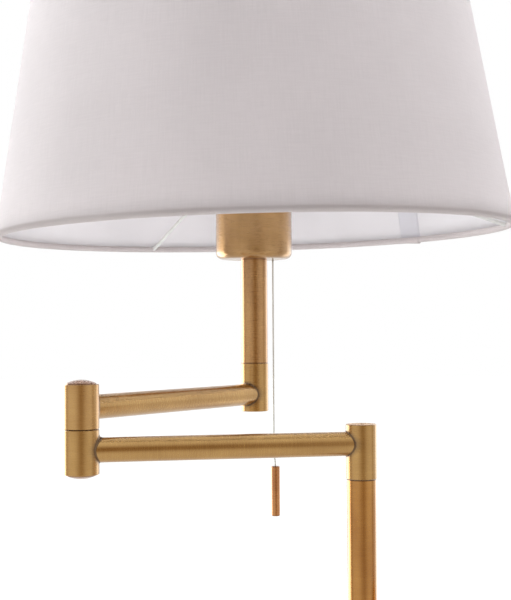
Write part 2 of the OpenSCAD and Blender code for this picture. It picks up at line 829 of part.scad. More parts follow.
module return_spring() {
    mean_r = plunger_d / 2 - spring_wire;
    turn = 360 / spring_sides;
    n = spring_sides * spring_turns;
    color(steel) translate(pull_at + [0, 0, plunger_top + spring_wire]) swept_tube(
        [for (i = [0:n])
            [mean_r * cos(turn * i), mean_r * sin(turn * i), (spring_l - 2 * spring_wire) * i / n]],
        spring_wire, [0, 0, 1], 6);
}

module lampholder_skirt() {
    color(moulded) translate(stem_at + [0, 0, skirt_z]) difference() {
        turned(skirt_d, skirt_h);
        translate([0, 0, -over]) cylinder(d = ledge_bore, h = skirt_h + 2 * over);
        translate([0, 0, shell_z - insulator_h - skirt_z]) cylinder(d = skirt_bore, h = skirt_h);
    }
}

module socket_insulator() {
    color(nylon) difference() {
        translate(stem_at + [0, 0, shell_z - insulator_h]) cylinder(d = insulator_d, h = insulator_h);
        translate(stem_at + [0, 0, contact_z]) cylinder(d = contact_d + 2 * seat_gap, h = insulator_h);
    }
}

module screw_shell() {
    color(brass) translate(stem_at + [0, 0, shell_z]) {
        ring(shell_bore + 2 * shell_t, shell_bore, shell_h);
        ring(insulator_d, shell_bore, shell_t);
    }
}

module centre_contact() {
    color(brass) translate(stem_at + [0, 0, contact_z]) turned(contact_d, contact_h);
}

module ring_nut() {
    difference() {
        turned(ring_nut_d, ring_nut_h, wide_chamfer);
        translate([0, 0, -over]) cylinder(d = ring_nut_bore, h = ring_nut_h + 2 * over);
    }
}

module lower_ring_nut() {
    color(moulded) translate(stem_at + [0, 0, fitter_z - fitter_t / 2 - ring_nut_h]) ring_nut();
}

module upper_ring_nut() {
    color(moulded) translate(stem_at + [0, 0, fitter_z + fitter_t / 2]) ring_nut();
}

// ---- Shade ----

module fitter_ring() {
    color(white_steel) translate(stem_at + [0, 0, fitter_z - fitter_t / 2])
        ring(fitter_d, fitter_bore, fitter_t);
}

// The lean of the whole shade about the middle of its fitter ring
module leaned() {
    pivot = stem_at + [0, 0, fitter_z];
    translate(pivot) rotate([lean_angle, 0, 0]) translate(-pivot) children();
}

// The axis of one spider arm, from the bottom ring up to the fitter ring
module on_spider(i) {
    translate(stem_at + [0, 0, ring_z]) rotate(spider_turn + 120 * i) translate([hem_low[0], 0, 0])
        rotate([0, spider_angle - 90, 0]) children();
}

module spider_arms() {
    reach = norm([spider_run, spider_rise]);
    color(white_steel) difference() {
        leaned() for (i = [0:2])
            on_spider(i) translate([0, 0, ring_d / 2 + seat_gap])
                cylinder(d = spider_d, h = reach - ring_d / 2 + spider_d, $fn = 32);
        translate(stem_at + [0, 0, fitter_z - shade_h / 2]) cylinder(d = fitter_d, h = shade_h);
    }
}

module hem_ring(centre) {
    leaned() translate(stem_at) rotate_extrude() translate(centre) circle(d = ring_d, $fn = 24);
}

module bottom_ring() {
    color(white_steel) hem_ring(hem_low);
}

module top_ring() {
    color(white_steel) hem_ring(hem_high);
}

// A point on the shade's section, u up the slope from the bottom ring and v outwards
function on_slope(u, v) = hem_low + u * along + v * outward;

module shade_liner() {
    color(white_steel) leaned() translate(stem_at) rotate_extrude() polygon([
        on_slope(hem_r, liner_out - liner_t), on_slope(hem_r, liner_out),
        on_slope(slope_l - hem_r, liner_out), on_slope(slope_l - hem_r, liner_out - liner_t)]);
}

// One face of the cloth's section, at radius r round both hem wires
function cloth_line(r) = let (
        low_end = slant - hem_wrap,
        high_end = slant + hem_wrap,
        low = hem_low + r * [cos(low_end), sin(low_end)],
        high = hem_high + r * [cos(high_end), sin(high_end)])
    concat(
        [high + hem_flange * [-sin(high_end), cos(high_end)]],
        arc(hem_high, r, high_end, slant, 15),
        arc(hem_low, r, slant, low_end, 15),
        [low + hem_flange * [sin(low_end), -cos(low_end)]]);

module shade_cloth() {
    outer = cloth_line(hem_r);
    inner = cloth_line(hem_r - cloth_t);
    color(cloth) leaned() difference() {
        translate(stem_at) rotate_extrude()
            polygon(concat(outer, [for (i = [len(inner) - 1:-1:0]) inner[i]]));
        for (i = [0:2]) on_spider(i) cylinder(d = spider_d + 2 * free_gap, h = 4 * hem_r, $fn = 32);
    }
}

module lead_in_upper_arm() {
    out = [cos(upper_dir), sin(upper_dir), 0];
    corner_a = elbow_at + [0, 0, upper_z];
    corner_b = stem_at + [0, 0, upper_z];
    color(nylon) swept_tube(concat(
        [elbow_at + [0, 0, seam_z + seam_gap / 2]],
        bend(corner_a, [0, 0, 1], out, lead_bend),
        bend(corner_b, out, [0, 0, 1], lead_bend),
        [stem_at + [0, 0, shell_z - insulator_h]]
    ), lead_d, [-out[1], out[0], 0]);
}

// ---- Pull switch ----

module switch_plunger() {
    color(steel) translate(pull_at) {
        translate([0, 0, plunger_z]) cylinder(d = plunger_d, h = plunger_l);
        translate([0, 0, cup_z]) cylinder(d = link_d, h = plunger_z - cup_z + over);
    }
}

module pull_cord() {
    color(nylon) translate(pull_at + [0, 0, cup_z])
        swept_tube(smooth(cord_route, cord_steps), cord_d, [1, 0, 0]);
}

module pull_bob() {
    color(old_brass) translate(pull_at + [0, 0, cup_z] + bob_at) difference() {
        translate([0, 0, -bob_l]) turned(bob_d, bob_l, bob_chamfer);
        translate([0, 0, -bob_hole - seat_gap])
            cylinder(d = cord_d + 2 * bob_hole_gap, h = bob_hole + over);
    }
}

mounting_strap();
ground_screw();
terminal_block();
canopy();
canopy_studs();
cap_nuts();
canopy_collar();
canopy_nipple();
canopy_nut();
wall_tube_plug();
wall_tube();
bracket_knuckle();
bracket_grub_screw();
post_foot_plug();
post();
post_pivot();
thrust_washer();
lead_in_bracket();
swing_knuckle();
swing_grub_screw();
lower_arm();
elbow_lower_barrel();
elbow_lower_cap();
elbow_pivot();
elbow_lower_nut();
elbow_upper_nut();
friction_washer();
spring_washer();
stop_pin();
lead_in_lower_arm();
elbow_upper_barrel();
elbow_upper_cap();
upper_arm();
stem_knuckle();
stem_grub_screw();
stem_foot_plug();
stem();
stem_top_plug();
cup_nipple();
socket_cup();
pull_bush();
switch_body();
return_spring();
lampholder_skirt();
socket_insulator();
screw_shell();
centre_contact();
lower_ring_nut();
upper_ring_nut();
fitter_ring();
spider_arms();
bottom_ring();
top_ring();
shade_liner();
shade_cloth();
lead_in_upper_arm();
switch_plunger();
pull_cord();
pull_bob();
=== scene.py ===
import json
import math

import bpy
import numpy as np
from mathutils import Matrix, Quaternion, Vector


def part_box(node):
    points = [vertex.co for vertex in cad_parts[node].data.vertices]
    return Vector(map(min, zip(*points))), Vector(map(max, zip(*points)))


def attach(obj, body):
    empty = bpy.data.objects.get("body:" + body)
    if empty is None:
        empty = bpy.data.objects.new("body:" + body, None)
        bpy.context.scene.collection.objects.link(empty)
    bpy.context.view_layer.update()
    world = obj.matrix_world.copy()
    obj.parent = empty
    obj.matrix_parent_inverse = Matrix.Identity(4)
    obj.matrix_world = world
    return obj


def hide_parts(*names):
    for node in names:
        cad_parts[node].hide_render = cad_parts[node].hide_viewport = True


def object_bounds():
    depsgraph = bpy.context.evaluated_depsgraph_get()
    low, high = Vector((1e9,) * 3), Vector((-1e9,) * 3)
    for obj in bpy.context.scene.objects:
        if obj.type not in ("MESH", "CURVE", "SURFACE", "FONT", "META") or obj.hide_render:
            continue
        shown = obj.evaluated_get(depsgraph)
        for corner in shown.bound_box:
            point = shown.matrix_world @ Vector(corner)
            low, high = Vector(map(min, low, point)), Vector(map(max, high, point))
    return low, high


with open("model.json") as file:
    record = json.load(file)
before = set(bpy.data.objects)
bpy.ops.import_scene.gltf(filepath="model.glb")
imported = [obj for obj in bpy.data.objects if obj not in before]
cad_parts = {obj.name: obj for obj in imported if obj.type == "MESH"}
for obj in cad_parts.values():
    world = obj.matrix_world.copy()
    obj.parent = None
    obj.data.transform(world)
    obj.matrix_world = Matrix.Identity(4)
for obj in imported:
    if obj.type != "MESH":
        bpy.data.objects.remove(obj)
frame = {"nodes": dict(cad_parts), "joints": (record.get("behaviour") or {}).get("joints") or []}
cad_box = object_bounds()

# ---- Camera ----
# It looks along the wall from about a metre to one side, a little below the shade's rim, so that
# the lining shows. Its angles are small turns away from level and from straight along the wall.
lens = 73.42
eye = Vector((0.8092, -0.1991, 0.2503))
yaw, pitch, roll = (math.radians(a) for a in (0.355, 1.166, -0.366))
aim = Vector((-math.cos(yaw) * math.cos(pitch), -math.sin(yaw) * math.cos(pitch), math.sin(pitch)))

camera = bpy.data.objects.new("camera", bpy.data.cameras.new("camera"))
camera.data.lens = lens
camera.location = eye
camera.rotation_mode = "QUATERNION"
camera.rotation_quaternion = Quaternion(-aim, roll) @ aim.to_track_quat("-Z", "Y")
bpy.context.scene.collection.objects.link(camera)
bpy.context.scene.camera = camera

# ---- Studio ----
# A plain pale room with a white floor well below the sconce. Two soft boxes behind it draw bright
# lines down the polished tubes, and two high ones light the matt shade. The room has soft dark
# patches that only polished metal mirrors, for the darker bands along the tubes.
bpy.context.scene.view_settings.view_transform = "Standard"
floor_z = cad_box[0][2] - 0.25
floor_size = 12.0
floor_grey = 0.82
floor_glow_seen = 0.7
floor_glow_cast = 0.42
surround = 0.385
behind = 0.8
behind_tightness = 3.0
behind_tint = 0.03
dark_side = Vector((math.cos(math.radians(9)), math.sin(math.radians(9)), 0.2)).normalized()
dark_depth = 0.8
dark_tightness = 9.0
side_depth = 0.4
side_w = 0.2
below_depth = 0.16
dark_limit = 0.82
dark_tint = (0.9, 1.06, 1.2)
lamp_aim = Vector((0, -0.2, 0.3))
lamp_distance = 1.6


class Value:
    """A value worked out by a finish's nodes. Sums on it, in either order, add Math nodes."""

    def __init__(self, finish, socket):
        self.finish = finish
        self.socket = socket

    def math(self, operation, *terms):
        return self.finish.node("ShaderNodeMath", {"operation": operation}, dict(enumerate(terms)))

    def __add__(self, other):
        return self.math("ADD", self, other)

    def __radd__(self, other):
        return self.math("ADD", other, self)

    def __sub__(self, other):
        return self.math("SUBTRACT", self, other)

    def __rsub__(self, other):
        return self.math("SUBTRACT", other, self)

    def __mul__(self, other):
        return self.math("MULTIPLY", self, other)

    def __rmul__(self, other):
        return self.math("MULTIPLY", other, self)

    def __truediv__(self, other):
        return self.math("DIVIDE", self, other)

    def __pow__(self, other):
        return self.math("POWER", self, other)

    def __lt__(self, other):
        return self.math("LESS_THAN", self, other)

    def __abs__(self):
        return self.math("ABSOLUTE", self)

    def at_least(self, low):
        return self.math("MAXIMUM", self, low)

    def at_most(self, high):
        return self.math("MINIMUM", self, high)

    def sine(self):
        return self.math("SINE", self)


class Finish:
    """A procedural finish, worked out from the values that its methods give back."""

    def __init__(self, owner):
        self.owner = owner
        owner.use_nodes = True
        self.tree = owner.node_tree
        self.tree.nodes.clear()

    def node(self, kind, settings=None, sockets=None, out=0):
        """Adds a node: its settings first, then the value or the link of each socket."""
        new = self.tree.nodes.new(kind)
        for key, value in (settings or {}).items():
            setattr(new, key, value)
        for key, value in (sockets or {}).items():
            if isinstance(value, Value):
                self.tree.links.new(value.socket, new.inputs[key])
            else:
                new.inputs[key].default_value = value
        return Value(self, new.outputs[out]) if out is not None else None

    def done(self, shader, kind="ShaderNodeOutputMaterial"):
        """Leads the shader to the output, and gives back what owns the finish."""
        self.node(kind, None, {"Surface": shader}, None)
        return self.owner


world = bpy.data.worlds.new("room")
bpy.context.scene.world = world
world.cycles.sampling_method = "NONE"
room = Finish(world)
ray = {kind: room.node("ShaderNodeLightPath", out=f"Is {kind} Ray")
       for kind in ("Camera", "Glossy", "Transmission")}
way = room.node("ShaderNodeTexCoord", out="Generated")
forward = room.node("ShaderNodeSeparateXYZ", None, {0: way}, "X")
upward = room.node("ShaderNodeSeparateXYZ", None, {0: way}, "Z")
towards = room.node("ShaderNodeVectorMath", {"operation": "DOT_PRODUCT"}, {0: way, 1: dark_side}, "Value")
dark_spot = towards.at_least(0.0) ** dark_tightness * dark_depth
dark_strip = (1.0 - (abs(forward) / side_w).at_most(1.0)) * (1.0 - upward * upward) * side_depth
dark = (dark_spot + dark_strip + (upward < 0.0) * below_depth).at_most(dark_limit) * ray["Glossy"]
seen = ray["Camera"] + ray["Transmission"] + ray["Glossy"]
from_behind = (0.0 - forward).at_least(0.0) ** behind_tightness * (1.0 - seen)
tint = room.node("ShaderNodeCombineColor", None, {
    0: 1.0 - dark * dark_tint[0] - from_behind * behind_tint,
    1: 1.0 - dark * dark_tint[1],
    2: 1.0 - dark * dark_tint[2]})
light = seen + (1.0 - seen) * surround + from_behind * behind
room.done(room.node("ShaderNodeBackground", None, {"Color": tint, "Strength": light}),
          "ShaderNodeOutputWorld")


def soft_box(name, bearing, rise, width, height, radiance, lights, colour=(1, 1, 1)):
    """A flat lamp that faces the sconce, so many degrees round from the camera's side of it and so
    many up. It lights only the matt surfaces, or only the polished ones."""
    lamp = bpy.data.lights.new(name, "AREA")
    lamp.shape = "RECTANGLE"
    lamp.size, lamp.size_y = width, height
    lamp.energy = radiance * math.pi * width * height
    lamp.color = colour
    box = bpy.data.objects.new(name, lamp)
    turn, tilt = math.radians(bearing), math.radians(rise)
    out = Vector((math.cos(turn) * math.cos(tilt), math.sin(turn) * math.cos(tilt), math.sin(tilt)))
    box.location = lamp_aim + lamp_distance * out
    box.rotation_euler = out.to_track_quat("Z", "Y").to_euler()
    box.visible_glossy = lights == "polished"
    box.visible_diffuse = lights == "matt"
    bpy.context.scene.collection.objects.link(box)


soft_box("left_soft_box", -128, 0, 1.3, 2.2, 2.9, "polished")
soft_box("right_soft_box", 138, 0, 0.8, 2.2, 1.0, "polished")
soft_box("left_high_box", -112, 50, 1.2, 1.2, 7.9, "matt", (0.93, 1, 1))
soft_box("right_high_box", 131, 50, 1.2, 1.2, 4.4, "matt", (0.93, 1, 1.02))

floor_mesh = bpy.data.meshes.new("studio_floor")
corners = [(x * floor_size, y * floor_size, floor_z) for x, y in ((-1, -1), (1, -1), (1, 1), (-1, 1))]
floor_mesh.from_pydata(corners, [], [(0, 1, 2, 3)])
floor = bpy.data.objects.new("studio_floor", floor_mesh)
bpy.context.scene.collection.objects.link(floor)
floor_finish = Finish(bpy.data.materials.new("floor_paint"))
matt = floor_finish.node("ShaderNodeBsdfDiffuse", None, {"Color": (floor_grey, floor_grey, floor_grey, 1)})
floor_ray = {kind: floor_finish.node("ShaderNodeLightPath", out=f"Is {kind} Ray")
             for kind in ("Camera", "Transmission", "Diffuse")}
floor.visible_glossy = False
floor_light = (floor_ray["Camera"] + floor_ray["Transmission"]) * floor_glow_seen \
    + floor_ray["Diffuse"] * floor_glow_cast
glow = floor_finish.node("ShaderNodeEmission", None, {"Color": (1, 1, 1, 1), "Strength": floor_light})
floor.data.materials.append(floor_finish.done(
    floor_finish.node("ShaderNodeAddShader", None, {0: matt, 1: glow})))

# ---- Pull cord ----
# A thin twisted cord that hangs from the bush in the socket cup's floor down to the brass pull.
# It is knotted inside the pull, and rides on the switch's plunger.
cord_d = 0.0012
cord_route = [
    (0, 0, 0), (0, 0, -8), (0, 0, -20), (0, 0, -32), (0, 0, -44), (0, 0, -56),
    (0, 0, -68), (0, 0, -80), (0, 0, -92), (0, 0, -104), (0, 0, -116), (0, 0, -128),
    (0, 0, -138), (0, 0, -145), (0, 0.3, -150), (0, 0.8, -154), (0, 1, -158), (0, 1, -162)
]
cord_exit = np.array((-0.126738, -0.191487, 0.2997))
cord_steps = 3
cord_sides = 12
cord_twist = 0.0022


class SurfaceFinish(Finish):
    """A finish for the surface of a piece, laid out on the piece's own coordinates."""

    def place(self, centre=(0, 0, 0), turn=(0, 0, 0), scale=(1, 1, 1)):
        """Object coordinates measured from a centre, along turned axes, in units of scale."""
        here = self.node("ShaderNodeTexCoord", out="Object")
        return self.node("ShaderNodeMapping", {"vector_type": "TEXTURE"},
                         {"Vector": here, "Location": centre, "Rotation": turn, "Scale": scale})

    def cloth_place(self, scale):
        """The piece's own flat layout, in units of scale."""
        flat = self.node("ShaderNodeUVMap", {"uv_map": "flat"})
        return self.node("ShaderNodeVectorMath", {"operation": "SCALE"}, {0: flat, "Scale": 1 / scale})

    def axis(self, vector, name):
        return self.node("ShaderNodeSeparateXYZ", None, {0: vector}, name)

    def noise(self, vector, detail=2.0, rough=0.5):
        return self.node("ShaderNodeTexNoise", None,
                         {"Vector": vector, "Scale": 1.0, "Detail": detail, "Roughness": rough})

    def ramp(self, value, low, high, start=0.0, end=1.0):
        """A smooth step from start, where the value is low, to end, where it is high."""
        return self.node("ShaderNodeMapRange", {"interpolation_type": "SMOOTHSTEP"},
                         {"Value": value, "From Min": low, "From Max": high,
                          "To Min": start, "To Max": end})

    def mix(self, mask, start, end):
        """A colour between two colours."""
        return self.node("ShaderNodeMix", {"data_type": "RGBA"}, {0: mask, 6: start, 7: end}, 2)

    def bump(self, height, depth, strength=1.0, under=None):
        """The normal of a surface raised by a height from 0 to 1, in units of depth."""
        sockets = {"Height": height, "Distance": depth, "Strength": strength}
        if under is not None:
            sockets["Normal"] = under
        return self.node("ShaderNodeBump", None, sockets)

    def principled(self, **sockets):
        return self.node("ShaderNodeBsdfPrincipled", None,
                         {name.replace("_", " "): value for name, value in sockets.items()})


def paint(red, green, blue):
    """A colour chosen on the usual 0 to 255 scale, as the light that the shader wants."""
    parts = [c / 255 for c in (red, green, blue)]
    return [c / 12.92 if c <= 0.04045 else ((c + 0.055) / 1.055) ** 2.4 for c in parts] + [1.0]


def skin(name, points, around=True, closed=True, flat=None):
    """A mesh over a grid of points, n stations by m points round each, with quads between neighbours.
    around joins the last station to the first, and closed joins the last point of each to its first.
    A surface that encloses its space the wrong way out is turned. flat gives each quad corner its
    place on the flat piece, on an (n+1) by (m+1) grid."""
    n, m = points.shape[:2]
    i, j = np.meshgrid(np.arange(n if around else n - 1), np.arange(m if closed else m - 1),
                       indexing="ij")
    i, j = i.ravel(), j.ravel()
    corners = [(i, j), (i + 1, j), (i + 1, j + 1), (i, j + 1)]
    quads = np.stack([(a % n) * m + b % m for a, b in corners], axis=1)
    spots = points.reshape(-1, 3)
    a, b, c, d = (spots[quads[:, k]] for k in range(4))
    enclosed = (a * np.cross(b, c) + a * np.cross(c, d)).sum()
    order = slice(None) if enclosed >= 0 else slice(None, None, -1)
    mesh = bpy.data.meshes.new(name)
    mesh.from_pydata(spots.tolist(), [], quads[:, order].tolist())
    if flat is not None:
        where = np.stack([flat[a, b] for a, b in corners], axis=1)[:, order]
        mesh.uv_layers.new(name="flat").data.foreach_set("uv", where.astype(np.float32).ravel())
    mesh.shade_smooth()
    piece = bpy.data.objects.new(name, mesh)
    bpy.context.scene.collection.objects.link(piece)
    return piece


def smooth_route(route, steps):
    """The Catmull-Rom curve through a route's points, with so many steps from each to the next."""
    p = np.array(route, float)
    before = p[np.maximum(np.arange(len(p) - 1) - 1, 0)]
    start, end = p[:-1], p[1:]
    after = p[np.minimum(np.arange(len(p) - 1) + 2, len(p) - 1)]
    t = (np.arange(steps) / steps)[None, :, None]
    a, b, c, d = (q[:, None, :] for q in (before, start, end, after))
    curve = b + t * (c - a) / 2 + t**2 * (a - 2.5 * b + 2 * c - d / 2) \
        + t**3 * (-a / 2 + 1.5 * b - 1.5 * c + d / 2)
    return np.vstack([curve.reshape(-1, 3), p[-1:]])


def round_tube(name, path, radius, sides):
    """A round tube: at each point of the path, a circle square to it, with a last circle of no size
    at each end that closes it. The flat layout runs along the path and round it, in metres."""
    along = np.gradient(path, axis=0)
    along /= np.linalg.norm(along, axis=1)[:, None]
    side = np.cross(along, (1.0, 0.0, 0.0))
    side /= np.linalg.norm(side, axis=1)[:, None]
    other = np.cross(along, side)
    angle = 2 * np.pi * np.arange(sides) / sides
    ends = [0, *range(len(path)), len(path) - 1]
    size = np.r_[1e-5, np.full(len(path), radius), 1e-5][:, None, None]
    ring = side[ends][:, None] * np.cos(angle)[None, :, None] \
        + other[ends][:, None] * np.sin(angle)[None, :, None]
    length = np.r_[0, np.cumsum(np.linalg.norm(np.diff(path, axis=0), axis=1))][ends]
    turn = 2 * np.pi * radius * np.arange(sides + 1) / sides
    flat = np.stack(np.broadcast_arrays(length[:, None], turn[None, :]), axis=-1)
    return skin(name, path[ends][:, None] + size * ring, around=False, flat=flat)


cord_path = cord_exit + smooth_route(cord_route, cord_steps) / 1000
pull_cord = round_tube("twisted_pull_cord", cord_path, cord_d / 2, cord_sides)

cord_finish = SurfaceFinish(bpy.data.materials.new("pull_cord"))
lay = cord_finish.cloth_place(cord_twist)
wound = cord_finish.axis(lay, "X") + cord_finish.axis(lay, "Y") * 1.7
# The grooves between the twisted strands are painted darker, as shade, and the crests lighter.
strand = wound.math("PINGPONG", wound, 0.5) * 2
pull_cord.data.materials.append(cord_finish.done(cord_finish.principled(
    Base_Color=cord_finish.mix(strand, paint(206, 206, 198), paint(240, 240, 232)),
    Roughness=0.45, Normal=cord_finish.bump(strand, 0.00012))))

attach(pull_cord, "pull_switch")
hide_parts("pull_cord")

# ---- Pull ----
# A slim solid brass rod turned on a lathe and drilled for the cord's knot. It is handled most, so
# it has gone redder and darker than the rest.
seam_tarnish_and_shade = (96, 58, 32)
braze_stain_and_shade = (78, 60, 46)
end_face_reflection = (226, 198, 170)


def paint_on(finish, *names):
    """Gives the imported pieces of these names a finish."""
    material = finish.owner
    for name in names:
        slots = frame["nodes"][name].data.materials
        slots.clear()
        slots.append(material)


def frame_turn(along):
    """The turn of a frame whose Z runs along a direction."""
    return tuple(Vector(along).to_track_quat("Z", "Y").to_euler())


def brass(name, centre, along=(0, 0, 1), light=(196, 154, 88), deep=(172, 130, 68), seams=(),
          seam_w=0.0007, rough=0.3, marks=(), line=0.00022, coat=1.0, turned=0.8, cut=None):
    """Satin brass: brushed round an axis in fine lines, slowly varied in tone along the piece, darker
    at the seams, partly as tarnish where polish never reaches and partly as painted shade in the
    gaps, and sealed with a clear lacquer. Each of marks is braze staining round a brazed tube, made
    darker still as painted shade in the corner where the tube meets: a point on the tube's middle
    line, a direction away from the tube, how far the darkening reaches, and the tube's radius. line
    is the fineness of the brushing, turned is how far an upright piece's brushing spreads its
    highlights up and down, and cut is the height of an end face that is painted pale and made dull,
    as a painted reflection."""
    finish = SurfaceFinish(bpy.data.materials.new(name))
    here = finish.place(centre, frame_turn(along))
    brushed = finish.noise(finish.place(centre, frame_turn(along), (0.006, 0.006, line)), 3.0, 0.65)
    broad = finish.noise(finish.place(centre, frame_turn(along), (0.02, 0.02, line * 7)), 2.0, 0.5)
    tone = finish.noise(finish.place(centre, frame_turn(along), (0.012, 0.012, 0.03)), 2.0, 0.5)
    height = finish.axis(here, "Z")
    turned = turned if abs(along[2]) > 0.9 else 0.0
    lit = finish.ramp(brushed * 0.2 + broad * 0.2 + tone * 0.6, 0.25, 0.75)
    colour = finish.mix(lit, paint(*deep), paint(*light))
    # Seams are painted darker: tarnish, and painted shade in the gaps between parts.
    for seam in seams:
        edge = finish.ramp(abs(height - seam), 0.0001, seam_w, 0.6, 0.0)
        colour = finish.mix(edge, colour, paint(*seam_tarnish_and_shade))
    # Braze staining round each tube, with painted shade in the corner where it meets the hub.
    for point, direction, reach, tube_r in marks:
        away = finish.place(point, frame_turn(direction))
        wide = finish.node("ShaderNodeVectorMath", {"operation": "LENGTH"},
                           {0: finish.node("ShaderNodeVectorMath", {"operation": "MULTIPLY"},
                                           {0: away, 1: (1, 1, 0)})}, "Value")
        stain_and_shade = finish.ramp(wide, tube_r, tube_r + reach, 0.55, 0.0) * (finish.axis(away, "Z") < 0.0)
        colour = finish.mix(stain_and_shade, colour, paint(*braze_stain_and_shade))
    roughness = finish.ramp(brushed, 0.3, 0.7, rough - 0.04, rough + 0.05)
    # The end face is painted pale, as a painted reflection, and made dull.
    if cut is not None:
        end_face = abs(height - cut) < 0.00003
        colour = finish.mix(end_face, colour, paint(*end_face_reflection))
        roughness = roughness + end_face * 0.3
        coat = (1.0 - end_face) * coat
    finish.done(finish.principled(
        Base_Color=colour, Metallic=1.0, Roughness=roughness,
        Anisotropic=turned, Anisotropic_Rotation=0.25, Coat_Weight=coat, Coat_Roughness=0.16,
        Normal=finish.bump(brushed, 0.00001)))
    return finish


def middle(node):
    """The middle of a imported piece's box."""
    low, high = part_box(node)
    return (low + high) / 2


pull_low, pull_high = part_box("pull_bob")
old_brass = brass("old_brass", (pull_low + pull_high) / 2, light=(200, 142, 84), deep=(164, 100, 48),
                  rough=0.28, seams=[(pull_low.z - pull_high.z) / 2, (pull_high.z - pull_low.z) / 2],
                  seam_w=0.0012)
paint_on(old_brass, "pull_bob")

# ---- Wall bracket ----
# A spun brass canopy over a zinc-plated strap, held by two cap nuts. A short tube comes out of it
# through a turned collar and is brazed to an upright knuckle that carries the post.
bracket_middle = middle("bracket_knuckle")
canopy_brass = brass("canopy_brass", middle("canopy"), (0, 1, 0))
paint_on(canopy_brass, "canopy", "canopy_collar", "cap_nuts", "canopy_nut")
tube_brass = brass("wall_tube_brass", middle("wall_tube"), (0, 1, 0))
paint_on(tube_brass, "wall_tube", "wall_tube_plug", "canopy_nipple")
knuckle_brass = brass("knuckle_brass", bracket_middle)
paint_on(knuckle_brass, "bracket_knuckle", "post_foot_plug")


def steel(name, light, deep, rough=0.34):
    """Plated steel: a cool grey with a faint mottle from the bath."""
    finish = SurfaceFinish(bpy.data.materials.new(name))
    mottle = finish.noise(finish.place(scale=(0.004, 0.004, 0.004)), 3.0, 0.6)
    finish.done(finish.principled(
        Base_Color=finish.mix(finish.ramp(mottle, 0.3, 0.7), paint(*deep), paint(*light)), Metallic=1.0,
        Roughness=finish.ramp(mottle, 0.3, 0.7, rough - 0.06, rough + 0.06),
        Normal=finish.bump(mottle, 0.00002)))
    return finish


def plastic(name, light, deep, rough=0.4, grain=0.0008):
    """A moulded part, slightly uneven in tone and in its skin."""
    finish = SurfaceFinish(bpy.data.materials.new(name))
    mottle = finish.noise(finish.place(scale=(grain * 8, grain * 8, grain * 8)), 2.0, 0.5)
    skin_grain = finish.noise(finish.place(scale=(grain, grain, grain)), 2.0, 0.6)
    finish.done(finish.principled(
        Base_Color=finish.mix(finish.ramp(mottle, 0.3, 0.7), paint(*deep), paint(*light)),
        Roughness=finish.ramp(mottle, 0.3, 0.7, rough - 0.06, rough + 0.06),
        Normal=finish.bump(skin_grain, 0.00003)))
    return finish


plated = steel("steel", (208, 210, 212), (188, 190, 193))
paint_on(plated, "mounting_strap", "canopy_studs", "bracket_grub_screw", "post_pivot")
paint_on(steel("green_screw", (74, 150, 88), (44, 108, 60)), "ground_screw")
nylon = plastic("nylon", (236, 232, 216), (218, 212, 194), 0.45)
paint_on(nylon, "terminal_block", "thrust_washer")
lead_sheath = plastic("lead_sheath", (226, 224, 218), (204, 200, 192), 0.38)
paint_on(lead_sheath, "lead_in_bracket")

# ---- Post ----
# A straight drawn tube that stands on the bracket's knuckle and carries the swing knuckle. It is
# a warmer brass than either.
post_low, post_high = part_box("post")
post_axis = (post_low + post_high) / 2
post_brass = brass("post_brass", post_axis, light=(192, 137, 62), deep=(170, 113, 44), rough=0.26,
                   seams=[post_high.z - post_axis.z])
paint_on(post_brass, "post")

# ---- Lower arm ----
# The swing knuckle turns on the post's pivot. The arm is a tube brazed into its side, and into
# the side of the elbow's lower barrel at the other end.
post_at = Vector((post_axis.x, post_axis.y, 0))
elbow_joint = next(j for j in frame["joints"] if j["name"] == "elbow_swivel")
elbow_at = Vector((elbow_joint["pos_m"][0], elbow_joint["pos_m"][1], 0))
lower_way = (elbow_at - post_at).normalized()
lower_middle = middle("lower_arm")
lower_z = lower_middle.z
arm_r = 0.008
swing_low, swing_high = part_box("swing_knuckle")
swing_axis = Vector((post_axis.x, post_axis.y, (swing_low.z + swing_high.z) / 2))
post_end = Vector((post_at.x, post_at.y, lower_z))
swing_brass = brass("swing_brass", swing_axis,
                    seams=[swing_low.z - swing_axis.z, swing_high.z - swing_axis.z],
                    marks=[(post_end, -lower_way, 0.003, arm_r)], cut=swing_high.z - swing_axis.z)
paint_on(swing_brass, "swing_knuckle")
paint_on(brass("lower_arm_brass", lower_middle, lower_way, rough=0.24), "lower_arm")
paint_on(plated, "swing_grub_screw")
paint_on(lead_sheath, "lead_in_lower_arm")

# ---- Elbow ----
# Two barrels, one over the other, that turn on a hollow steel pivot. A sprung washer and a nylon
# one hold the arm where it is left, and a domed cap closes each end.
# The dark line at each cap's rim is painted shadow, from the gap under the dome.
cap_light, cap_deep = (192, 150, 118), (170, 126, 94)
cap_line = 0.004
cap_seam_w = 0.0013
seam_z = (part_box("elbow_lower_barrel")[1].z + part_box("elbow_upper_barrel")[0].z) / 2
lower_barrel_axis = Vector((elbow_at.x, elbow_at.y, lower_z))
paint_on(brass("lower_barrel_brass", lower_barrel_axis, seams=[seam_z - lower_z],
               marks=[(lower_barrel_axis, lower_way, 0.0035, arm_r)]), "elbow_lower_barrel")
paint_on(brass("lower_cap_brass", lower_barrel_axis, light=cap_light, deep=cap_deep, line=cap_line,
               turned=0.0, seams=[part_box("elbow_lower_barrel")[0].z - lower_z], seam_w=cap_seam_w),
         "elbow_lower_cap")
paint_on(plated, "elbow_pivot", "elbow_lower_nut", "elbow_upper_nut", "spring_washer", "stop_pin")
paint_on(nylon, "friction_washer")

